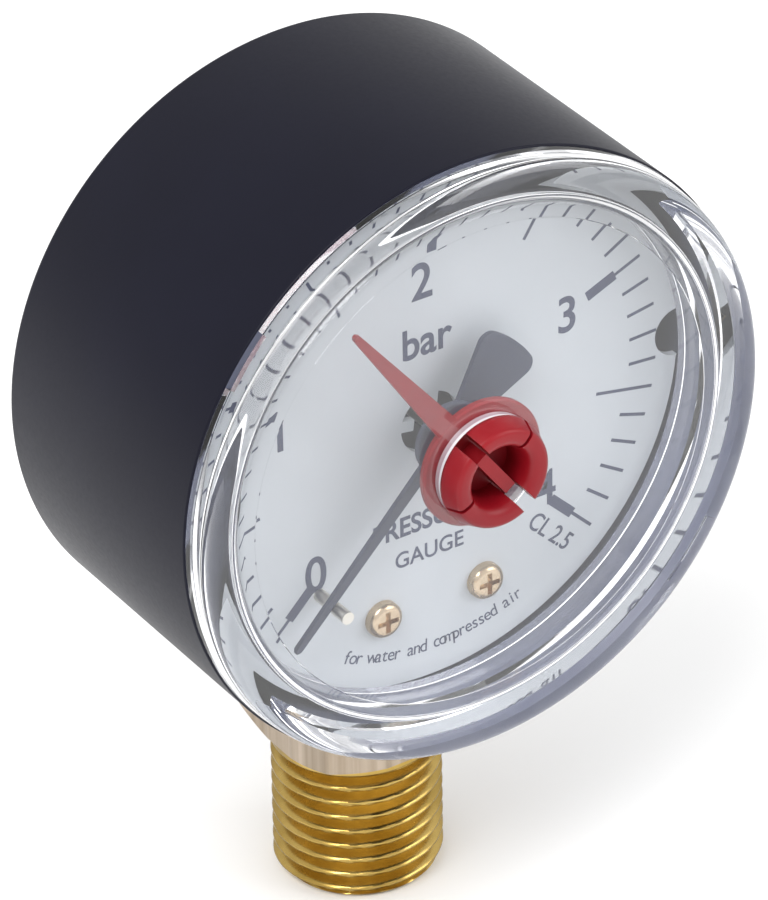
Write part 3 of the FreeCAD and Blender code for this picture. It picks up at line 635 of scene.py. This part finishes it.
def make_window():
    plain, notched = window_profile(False), window_profile(True)
    spans = []
    for angle, width in NOTCHES:
        half = math.degrees(width / 2 / (WINDOW_RADIUS / MM))
        spans.append((angle - half, angle + half))
    columns = []
    for k in range(WINDOW_COLUMNS):
        angle = -180.0 + 360.0 * k / WINDOW_COLUMNS
        if min(abs(angle - edge) for ends in spans for edge in ends) > NOTCH_CLEAR:
            inside = any(low < angle < high for low, high in spans)
            columns.append((angle, notched if inside else plain))
    for low, high in spans:
        columns += [(low - NOTCH_FLANK, plain), (low + NOTCH_FLANK, notched),
                    (high - NOTCH_FLANK, notched), (high + NOTCH_FLANK, plain)]
    columns.sort(key=lambda column: column[0])
    mesh = shade(turned_mesh("window", columns), 24)
    obj = new_object("window_pane", mesh, CLEAR, "housing")
    mesh.materials.append(CUT_EDGE)
    for face in mesh.polygons:
        middle = face.center - ORIGIN
        face.material_index = int(math.hypot(middle.x, middle.z) < (HOLE_RADIUS + 0.05) * MM)
    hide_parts("window")


# ---------------------------------------------------------------- dial and its print
def make_dial():
    front, back = DIAL_FRONT / MM, (DIAL_FRONT + DIAL_THICK) / MM
    radius = DIAL_RADIUS / MM
    spread = math.degrees(math.asin(DIAL_NOTCH / radius)) + NOTCH_TURN
    bow = [(DIAL_NOTCH * math.cos(t), -DIAL_NOTCH * math.sin(t)) for t in np.linspace(math.pi, 0, 24)]
    outline = []
    for side in (90.0, 270.0):
        outline += [clock(radius, a) for a in np.linspace(side - 180.0 + spread, side - spread, 120)]
        centre = clock(radius, side)
        outline += [(centre[0] + x, centre[1] + u) for x, u in turn_outline(bow, side)]
    body = slab_mesh("dial", outline, front, back)
    half_tab = TAB_WIDTH / 2
    reach = math.sqrt(DIAL_HOLE ** 2 - half_tab ** 2)
    spread = math.degrees(math.asin(half_tab / DIAL_HOLE))
    hole = []
    for angle in DIAL_TABS:
        hole += turn_outline([(-half_tab, reach), (-half_tab, TAB_INNER), (half_tab, TAB_INNER)], angle)
        hole += [clock(DIAL_HOLE, a) for a in np.linspace(angle + spread, angle + 90.0 - spread, 14)[:-1]]
    mesh = shade(cut(body, [slab_mesh("hole", hole, front - 1, back + 1)]), 30)
    obj = new_object("dial_sheet", mesh, DIAL_WHITE, "housing")
    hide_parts("dial")


def text_mesh(words, height, place, turn=0.0, width=1.0, thick=0.0, line=False):
    """Flat letters on the dial: height of a capital, centre across and up, clockwise turn in degrees.

    With line, the place is on the letters' base line instead of at their middle.
    """
    curve = bpy.data.curves.new("words", "FONT")
    curve.body = words
    curve.align_x = "CENTER"
    curve.size = height / CAPITAL_SHARE
    curve.offset = thick
    curve.extrude = LETTER_HALF
    curve.resolution_u = 6
    obj = bpy.data.objects.new("words", curve)
    bpy.context.scene.collection.objects.link(obj)
    mesh = bpy.data.meshes.new_from_object(obj.evaluated_get(bpy.context.evaluated_depsgraph_get()))
    bpy.data.objects.remove(obj)
    co = np.zeros(len(mesh.vertices) * 3)
    mesh.vertices.foreach_get("co", co)
    co = co.reshape(-1, 3)
    middle = (co[:, 0].max() + co[:, 0].min()) / 2
    base = 0.0 if line else (co[:, 1].max() + co[:, 1].min()) / 2
    a = math.radians(turn)
    for vertex in mesh.vertices:
        x, u, depth = (vertex.co.x - middle) * width, vertex.co.y - base, vertex.co.z
        across, up = x * math.cos(a) + u * math.sin(a), u * math.cos(a) - x * math.sin(a)
        vertex.co = at(place[0] + across, place[1] + up, DIAL_FRONT / MM - LETTER_FRONT - depth)
    return mesh


def printed_bar(width, inner, outer, angle):
    """A printed mark on the dial between two radii."""
    return slab_mesh("patch", bar_outline(width, inner, outer, angle),
                     DIAL_FRONT / MM - PRINT_THICK, DIAL_FRONT / MM)


def make_print():
    pieces = []
    for k in range(FULL_SCALE * TICKS_PER_BAR + 1):
        angle = -DIAL_SPAN / 2 + DIAL_SPAN * k / (FULL_SCALE * TICKS_PER_BAR)
        whole, half = k % TICKS_PER_BAR == 0, k % (TICKS_PER_BAR // 2) == 0
        inner = TICK_LONG if half and not whole else TICK_INNER
        pieces.append(printed_bar(TICK_WIDTH, inner, TICK_OUTER, angle))
        if whole:
            pieces.append(printed_bar(BLOCK_WIDTH, TICK_LONG, TICK_INNER, angle))
    for words, place in NUMERALS.items():
        pieces.append(text_mesh(words, NUMERAL_HEIGHT, place, width=0.92, thick=0.055))
    for words, height, place, turn, width, thick in WORDS:
        pieces.append(text_mesh(words, height, place, turn, width, thick))
    for k, letter in enumerate(NOTE):
        angle = 180.0 + NOTE_SPREAD * (1 - 2 * k / (len(NOTE) - 1))
        if letter != " ":
            place = clock(NOTE_RADIUS, angle)
            pieces.append(text_mesh(letter, NOTE_HEIGHT, place, turn=angle - 180.0, width=0.9, line=True))
    new_object("dial_print", join_meshes("print", pieces), PRINT, "housing")


# ---------------------------------------------------------------- stem
def thread_radius(z, angle):
    """Radius of the right-handed thread's surface at a height and a clock angle."""
    phase = ((z / PITCH + angle / 360.0) % 1.0) - 0.5
    share = min(1.0, max(0.0, (abs(phase) * 2.0 - THREAD_FLAT) / THREAD_FLANK))
    share -= math.sin(2 * math.pi * share) / (2 * math.pi) * THREAD_ROUNDING
    fade = min(1.0, max(0.0, (THREAD_TOP - z) / (THREAD_RUNOUT * PITCH)))
    return THREAD_RADIUS - THREAD_DEPTH * share * fade


def square_reach(angle):
    """Distance to the rounded square's outline at an angle."""
    half = SQUARE_HALF / MM
    a = math.radians(angle)
    c, s = abs(math.cos(a)), abs(math.sin(a))
    straight = half / max(c, s)
    inner = half - SQUARE_CORNER
    if min(straight * c, straight * s) > inner:
        b = inner * (c + s)
        return b + math.sqrt(max(0.0, b * b - 2 * inner * inner + SQUARE_CORNER * SQUARE_CORNER))
    return straight


def make_stem():
    bm = bmesh.new()
    rings = []

    def ring(radius_of, height_of):
        row = []
        for k in range(STEM_COLUMNS):
            angle = 360.0 * k / STEM_COLUMNS
            across, along = clock(radius_of(angle), angle)
            row.append(bm.verts.new((across * MM, along * MM, height_of(angle) * MM)))
        rings.append(row)

    def plain_ring(radius, height):
        ring(lambda a: radius, lambda a: height)

    plain_ring(PORT_RADIUS, PORT_DEPTH)
    plain_ring(PORT_RADIUS, PORT_CHAMFER)
    plain_ring(PORT_RADIUS + PORT_CHAMFER, 0.0)
    plain_ring(END_RADIUS, 0.0)
    for z in np.arange(0.0, THREAD_TOP + 0.001, PITCH / RINGS_PER_TURN)[1:]:
        limit = THREAD_CHAMFER + z * CHAMFER_SLOPE
        ring(lambda a, z=z, limit=limit: min(limit, thread_radius(z, a)), lambda a, z=z: z)
    plain_ring(THREAD_RADIUS - RELIEF, SQUARE_BOTTOM - RELIEF_END)
    plain_ring(THREAD_RADIUS + SHOULDER_LIP, SQUARE_BOTTOM)
    slope = math.tan(math.radians(SQUARE_CHAMFER))
    ring(lambda a: min(SQUARE_TURNED, square_reach(a)), lambda a: SQUARE_BOTTOM)
    ring(square_reach, lambda a: SQUARE_BOTTOM + max(0.0, square_reach(a) - SQUARE_TURNED) * slope + 0.02)
    ring(square_reach, lambda a: SQUARE_TOP)
    for low, high in zip(rings, rings[1:]):
        for k in range(STEM_COLUMNS):
            j = (k + 1) % STEM_COLUMNS
            bm.faces.new((low[k], low[j], high[j], high[k]))
    bm.faces.new(rings[-1])
    bm.faces.new(rings[0][::-1])
    split = SQUARE_BOTTOM * MM - 1e-5
    for face in bm.faces:
        face.material_index = 1 if face.calc_center_median().z > split else 0
    mesh = bpy.data.meshes.new("stem")
    bm.to_mesh(mesh)
    bm.free()
    shade(mesh, 30)
    obj = new_object("stem_brass", mesh, BRASS_THREAD, "housing")
    mesh.materials.append(BRASS_SQUARE)
    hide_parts("stem")


# ---------------------------------------------------------------- pointer and set hand
def tail_outline():
    """The pointer's tail, a wedge with rounded corners, in place of the blade at twelve o'clock."""
    reach = TAIL_LENGTH - TAIL_CORNER
    turn = TAIL_SPREAD - math.degrees(math.asin(TAIL_CORNER / reach))
    corners = []
    for side in (1, -1):
        centre = clock(reach, 180.0 + side * turn)
        bends = np.linspace(side * (90.0 + TAIL_SPREAD), side * turn, 9)[::side]
        corners.append([(centre[0] + x, centre[1] + u)
                        for x, u in (clock(TAIL_CORNER, 180.0 + b) for b in bends)])
    end = [clock(TAIL_LENGTH, 180.0 + b) for b in np.linspace(turn, -turn, 17)[1:-1]]
    return [(TAIL_NECK, 0.0), (-TAIL_NECK, 0.0)] + corners[0] + end + corners[1]


def make_pointer():
    low, high = pointer_low.y / MM, pointer_high.y / MM
    blade = [(-BLADE_HALF_ROOT, BLADE_ROOT), (-BLADE_HALF_TIP, BLADE_SHOULDER), (0.0, BLADE_TIP),
             (BLADE_HALF_TIP, BLADE_SHOULDER), (BLADE_HALF_ROOT, BLADE_ROOT)]
    meshes = [slab_mesh("blade", turn_outline(blade, POINTER_AT), low, high),
              slab_mesh("tail", turn_outline(tail_outline(), POINTER_AT), low, high),
              slab_mesh("ring", disc_outline(POINTER_RING), low, high)]
    mesh = shade(join_meshes("pointer", meshes), 30)
    obj = new_object("pointer_blade", mesh, POINTER_BLACK, "pointer_assembly")
    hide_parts("pointer")
    hub_low, hub_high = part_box("pointer_hub")
    front, back = hub_low.y / MM, hub_high.y / MM
    rim = (hub_high.x - hub_low.x) / 2 / MM
    profile = (
        [(0.0, front + CAP_DISH), (CAP_FLAT, front)]
        + arc((rim - CAP_ROUND, front + CAP_ROUND), CAP_ROUND, -90, 0, 4)
        + [(rim, low), (BOSS_RADIUS, low), (BOSS_RADIUS, back), (BOSS_BORE, back),
           (BOSS_BORE, front + CAP_THICK), (0.0, front + CAP_THICK)]
    )
    cap = shade(turned_mesh("cap", even_columns(profile, 96)), 30)
    hub = new_object("pointer_cap", cap, POINTER_BLACK, "pointer_assembly")
    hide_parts("pointer_hub")


def make_set_hand():
    """The red set hand: disc and hand behind the pane, and its knob's snap fingers in the pane's hole."""
    crest, disc_back = KNOB_FRONT / MM, set_high.y / MM
    disc_front = disc_back - DISC_THICK
    inside = disc_front + JOIN
    barb_back = WINDOW_FRONT / MM - BARB_LEAD
    disc = [(0.0, disc_back), (0.0, disc_front),
            (SET_DISC - DISC_EDGE_FRONT, disc_front), (SET_DISC, disc_front + DISC_EDGE_FRONT),
            (SET_DISC, disc_back - DISC_EDGE_BACK), (SET_DISC - DISC_EDGE_BACK, disc_back)]
    fingers = (
        [(KNOB_BORE, disc_front + 2 * JOIN), (KNOB_NECK, disc_front + 2 * JOIN), (KNOB_NECK, barb_back)]
        + [(KNOB_BARB - BARB_CHAMFER[0], barb_back), (KNOB_BARB, barb_back - BARB_CHAMFER[1])]
        + [(KNOB_BARB, barb_back - BARB_LENGTH)]
        + arc((LIP_CENTRE, crest + LIP_RADIUS), LIP_RADIUS, -12, -90, 8)
        + [(radius, crest + depth) for radius, depth in LIP_SLOPE]
    )
    slots = [slab_mesh("slot", bar_outline(KNOB_SLOT, -CUTTER_REACH, CUTTER_REACH, SET_HAND_AT),
                       crest - 1, KNOB_FLOOR)]
    for angle in (SPLIT_ANGLE, -SPLIT_ANGLE):
        slots.append(slab_mesh("split", bar_outline(KNOB_SPLIT, 0, CUTTER_REACH, SET_HAND_AT + angle),
                               crest - 1, KNOB_FLOOR))
    ring = cut(turned_mesh("fingers", even_columns(fingers, 192)), slots)
    floor = slab_mesh("floor", disc_outline(KNOB_BORE + JOIN), KNOB_FLOOR, inside)
    web = slab_mesh("web", bar_outline(WEB_WIDTH, -WEB_LENGTH / 2, WEB_LENGTH / 2, SET_HAND_AT),
                    KNOB_WEB, KNOB_FLOOR + JOIN)
    tip = math.hypot(set_low.x / MM, set_high.z / MM - CENTRE / MM)
    hand = [(-HAND_HALF_ROOT, HAND_ROOT), (-HAND_HALF_TIP, tip - HAND_TIP_LENGTH), (-HAND_TIP_HALF, tip),
            (HAND_TIP_HALF, tip), (HAND_HALF_TIP, tip - HAND_TIP_LENGTH), (HAND_HALF_ROOT, HAND_ROOT)]
    hand = slab_mesh("hand", turn_outline(hand, SET_HAND_AT), inside, disc_back - HAND_RECESS)
    mesh = join_meshes("set_hand", [turned_mesh("disc", even_columns(disc, 128)), ring, floor, web, hand])
    obj = new_object("set_hand_red", shade(mesh, 35), RED, "set_hand_knob")
    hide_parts("set_hand")


# ---------------------------------------------------------------- stage, light and camera
def make_stage():
    bm = bmesh.new()
    bmesh.ops.create_grid(bm, x_segments=1, y_segments=1, size=FLOOR_HALF)
    mesh = bpy.data.meshes.new("floor")
    bm.to_mesh(mesh)
    bm.free()
    mat, tree, shader = material("floor_white")
    shader.inputs["Base Color"].default_value = (0.96, 0.96, 0.96, 1)
    shader.inputs["Roughness"].default_value = 0.8
    floor = bpy.data.objects.new("floor", mesh)
    bpy.context.scene.collection.objects.link(floor)
    mesh.materials.append(mat)
    world = bpy.data.worlds.new("studio")
    world.use_nodes = True
    world.node_tree.nodes["Background"].inputs["Color"].default_value = (1.0, 1.0, 1.0, 1)
    world.node_tree.nodes["Background"].inputs["Strength"].default_value = 0.9
    bpy.context.scene.world = world


def area_light(name, place, size, power):
    light = bpy.data.lights.new(name, "AREA")
    light.shape = "RECTANGLE"
    light.size, light.size_y = size
    light.energy = power
    obj = bpy.data.objects.new(name, light)
    obj.location = place
    obj.rotation_euler = (Vector(LAMP_AIM) - Vector(place)).to_track_quat("-Z", "Y").to_euler()
    bpy.context.scene.collection.objects.link(obj)


def make_camera():
    azimuth, elevation, roll = (math.radians(a) for a in (CAMERA_AZIMUTH, CAMERA_ELEVATION, CAMERA_ROLL))
    back = Vector((math.sin(azimuth) * math.cos(elevation), -math.cos(azimuth) * math.cos(elevation),
                   math.sin(elevation)))
    right = (-back).cross(Vector((0, 0, 1))).normalized()
    up = right.cross(-back)
    right_rolled = right * math.cos(roll) + up * math.sin(roll)
    up_rolled = up * math.cos(roll) - right * math.sin(roll)
    turn = Matrix((right_rolled, up_rolled, back)).transposed()
    camera = bpy.data.cameras.new("camera")
    camera.sensor_width = CAMERA_SENSOR
    camera.lens = CAMERA_LENS
    camera.shift_x, camera.shift_y = CAMERA_SHIFT
    camera.clip_start = CAMERA_CLIP
    obj = bpy.data.objects.new("camera", camera)
    place = Vector(CAMERA_TARGET) * MM + back * (CAMERA_DISTANCE * MM)
    obj.matrix_world = Matrix.Translation(place) @ turn.to_4x4()
    bpy.context.scene.collection.objects.link(obj)
    bpy.context.scene.camera = obj


make_camera()
make_stage()
area_light("key", (-0.5, -0.3, 0.8), (0.5, 0.5), 6.0)
area_light("fill", (0.6, -0.6, 0.5), (0.6, 0.6), 3.0)
bpy.context.scene.view_settings.view_transform = "Standard"
bpy.context.scene.cycles.max_bounces = 40          # the window's rim needs many passes through clear plastic
bpy.context.scene.cycles.transmission_bounces = 40
bpy.context.scene.cycles.glossy_bounces = 16
make_case()
make_window()
make_dial()
make_print()
make_stem()
make_pointer()
make_set_hand()
